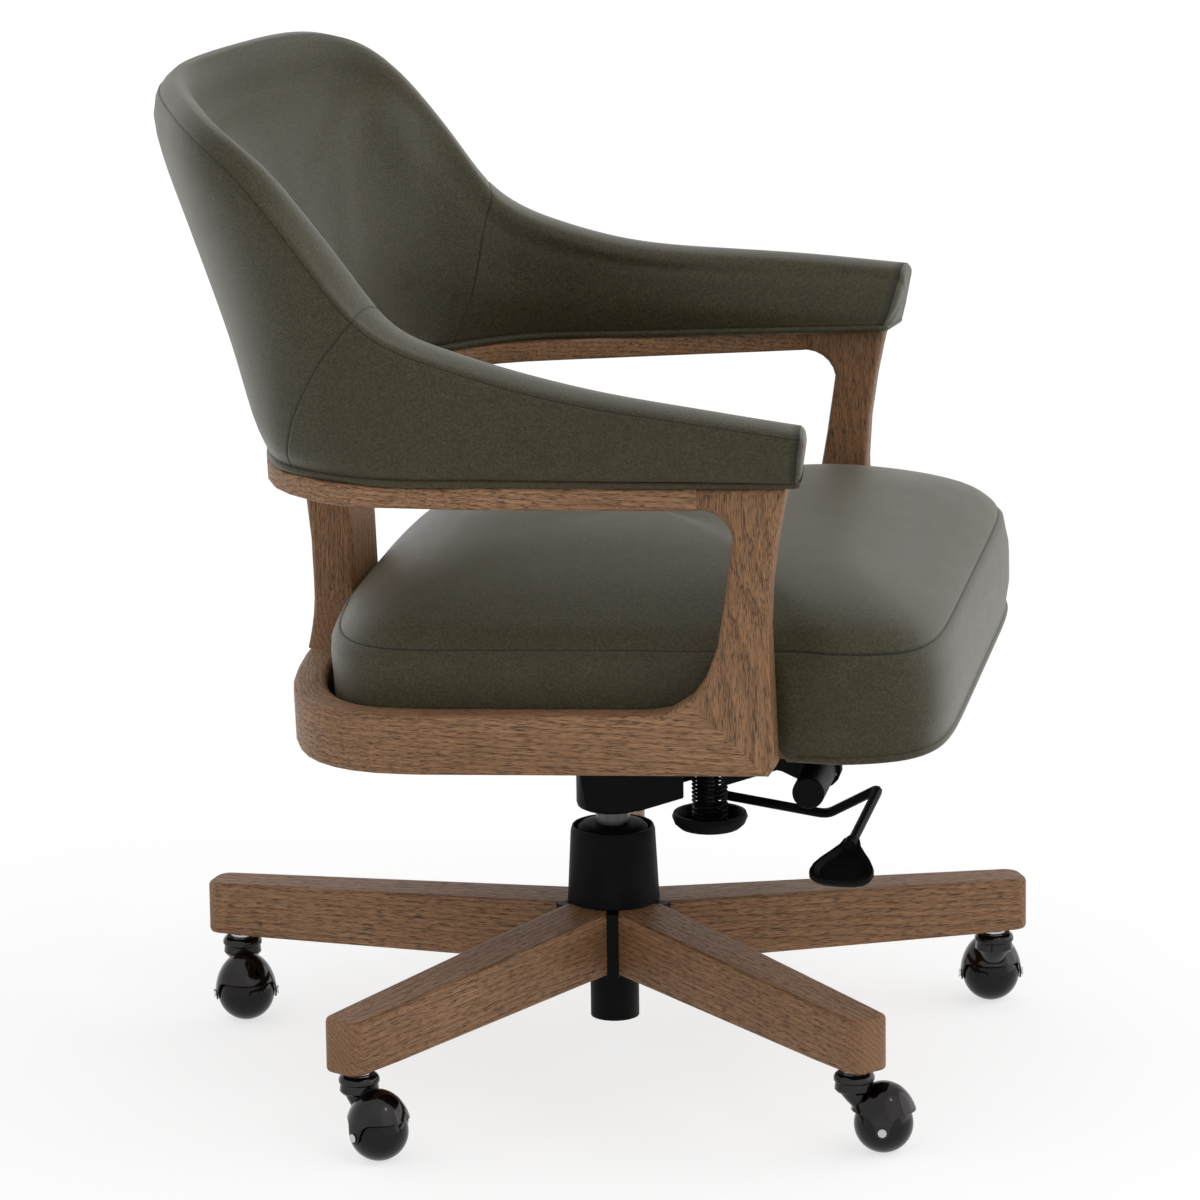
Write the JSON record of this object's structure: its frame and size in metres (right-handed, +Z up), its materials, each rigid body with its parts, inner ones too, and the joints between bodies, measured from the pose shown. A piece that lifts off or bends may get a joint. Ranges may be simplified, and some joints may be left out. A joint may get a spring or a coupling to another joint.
{
  "type": "desk chair",
  "caption": "Swivel desk chair: leather barrel back and arms on an oak frame, crowned cushion, oak star base on ball casters, height lever and tilt tension knob.",
  "frame": {"origin": "on the floor under the centre of the chair's bounding box; the column's axis is 16.2 mm towards -X and 18.4 mm towards -Y from it", "axes": "+Z up; the sitter faces -Y, with the right hand at -X; the back is at +Y"},
  "size_m": [0.694, 0.6824, 0.8133],
  "materials": {
    "oak": "oiled, matt, open grain",
    "leather": "satin, fine grain",
    "black_steel": "satin black powder coat",
    "black_plastic": "matt, slightly textured",
    "chrome": "bright",
    "dark_chrome": "dark mirror",
    "ball_black": "satin",
    "bearing_steel": "ground"
  },
  "bodies": {
    "base": {"spoke_1": "oak", "spoke_2": "oak", "spoke_3": "oak", "spoke_4": "oak", "spoke_5": "oak", "hub_sleeve": "black_steel", "column_tube": "black_steel", "column_cover": "black_plastic", "guide_bush": "black_plastic", "thrust_bearing": "bearing_steel", "caster_stem_1": "chrome", "caster_stem_2": "chrome", "caster_stem_3": "chrome", "caster_stem_4": "chrome", "caster_stem_5": "chrome"},
    "spindle": {"piston_rod": "bearing_steel"},
    "lift": {"gas_cylinder": "chrome", "tilt_housing": "black_steel", "anchor_pin": "bearing_steel", "tension_bolt": "bearing_steel", "lever_pin": "bearing_steel", "tension_spring": "black_steel"},
    "valve_button": {"release_button": "black_plastic"},
    "knob": {"tension_knob": "black_plastic"},
    "lever": {"lever_rocker": "black_plastic", "lever_wire": "black_steel", "lever_paddle": "black_plastic"},
    "seat": {"seat_plate": "black_steel", "cross_tube": "black_steel", "seat_board": "oak", "seat_cushion": "leather", "lower_rail_right": "oak", "lower_rail_left": "oak", "lower_rail_back": "oak", "front_post_right": "oak", "front_post_left": "oak", "back_post": "oak", "arm_rail_right": "oak", "arm_rail_left": "oak", "arm_rail_back": "oak", "arm_pad_right": "leather", "arm_pad_left": "leather", "back_pad": "leather"},
    "caster_1": {"caster_hood_1": "dark_chrome", "caster_axle_1": "chrome"},
    "ball_1": {"caster_ball_1": "ball_black"},
    "caster_2": {"caster_hood_2": "dark_chrome", "caster_axle_2": "chrome"},
    "ball_2": {"caster_ball_2": "ball_black"},
    "caster_3": {"caster_hood_3": "dark_chrome", "caster_axle_3": "chrome"},
    "ball_3": {"caster_ball_3": "ball_black"},
    "caster_4": {"caster_hood_4": "dark_chrome", "caster_axle_4": "chrome"},
    "ball_4": {"caster_ball_4": "ball_black"},
    "caster_5": {"caster_hood_5": "dark_chrome", "caster_axle_5": "chrome"},
    "ball_5": {"caster_ball_5": "ball_black"}
  },
  "joints": [
    {"name": "seat_swivel", "type": "hinge", "parent": "base", "child": "spindle", "pos_m": [-0.01622, -0.01845, 0.12], "axis": [0, 0, 1], "continuous": true},
    {"name": "seat_height", "type": "slide", "parent": "spindle", "child": "lift", "axis": [0, 0, 1], "range_m": [0, 0.08]},
    {"name": "seat_tilt", "type": "hinge", "parent": "lift", "child": "seat", "pos_m": [-0.01622, -0.19525, 0.2536], "axis": [-1, 0, 0], "range_deg": [0, 10], "stiffness_Nm_per_rad": 120, "springref_deg": -25.78, "deforming": ["tension_spring"]},
    {"name": "height_lever", "type": "hinge", "parent": "lift", "child": "lever", "pos_m": [-0.01622, -0.05845, 0.2475], "axis": [-1, 0, 0], "range_deg": [0, 4], "stiffness_Nm_per_rad": 3, "springref_deg": -6.88},
    {"name": "valve_press", "type": "slide", "parent": "lift", "child": "valve_button", "axis": [0, 0, -1], "range_m": [0, 0.0031]},
    {"name": "tension_turn", "type": "hinge", "parent": "lift", "child": "knob", "pos_m": [-0.01622, -0.09875, 0.1965], "axis": [0, 0, 1], "continuous": true},
    {"name": "caster_swivel_1", "type": "hinge", "parent": "base", "child": "caster_1", "pos_m": [0.31041, 0.02862, 0.0703], "axis": [0, 0, 1], "continuous": true},
    {"name": "caster_roll_1", "type": "hinge", "parent": "caster_1", "child": "ball_1", "pos_m": [0.32191, 0.04854, 0.0235], "axis": [-0.866, 0.5, 0], "continuous": true},
    {"name": "caster_swivel_2", "type": "hinge", "parent": "base", "child": "caster_2", "pos_m": [0.03995, 0.30673, 0.0703], "axis": [0, 0, 1], "continuous": true},
    {"name": "caster_roll_2", "type": "hinge", "parent": "caster_2", "child": "ball_2", "pos_m": [0.01807, 0.29963, 0.0235], "axis": [0.309, -0.9511, 0], "continuous": true},
    {"name": "caster_swivel_3", "type": "hinge", "parent": "base", "child": "caster_3", "pos_m": [-0.30813, 0.13546, 0.0703], "axis": [0, 0, 1], "continuous": true},
    {"name": "caster_roll_3", "type": "hinge", "parent": "caster_3", "child": "ball_3", "pos_m": [-0.32261, 0.11758, 0.0235], "axis": [0.7771, -0.6293, 0], "continuous": true},
    {"name": "caster_swivel_4", "type": "hinge", "parent": "base", "child": "caster_4", "pos_m": [-0.2528, -0.24851, 0.0703], "axis": [0, 0, 1], "continuous": true},
    {"name": "caster_roll_4", "type": "hinge", "parent": "caster_4", "child": "ball_4", "pos_m": [-0.2508, -0.27143, 0.0235], "axis": [0.9962, 0.0872, 0], "continuous": true},
    {"name": "caster_swivel_5", "type": "hinge", "parent": "base", "child": "caster_5", "pos_m": [0.12948, -0.31455, 0.0703], "axis": [0, 0, 1], "continuous": true},
    {"name": "caster_roll_5", "type": "hinge", "parent": "caster_5", "child": "ball_5", "pos_m": [0.15189, -0.30937, 0.0235], "axis": [-0.225, 0.9744, 0], "continuous": true}
  ],
  "couplings": [
    {"joint": "valve_press", "follows": "height_lever", "m_per_rad": 0.0425}
  ]
}
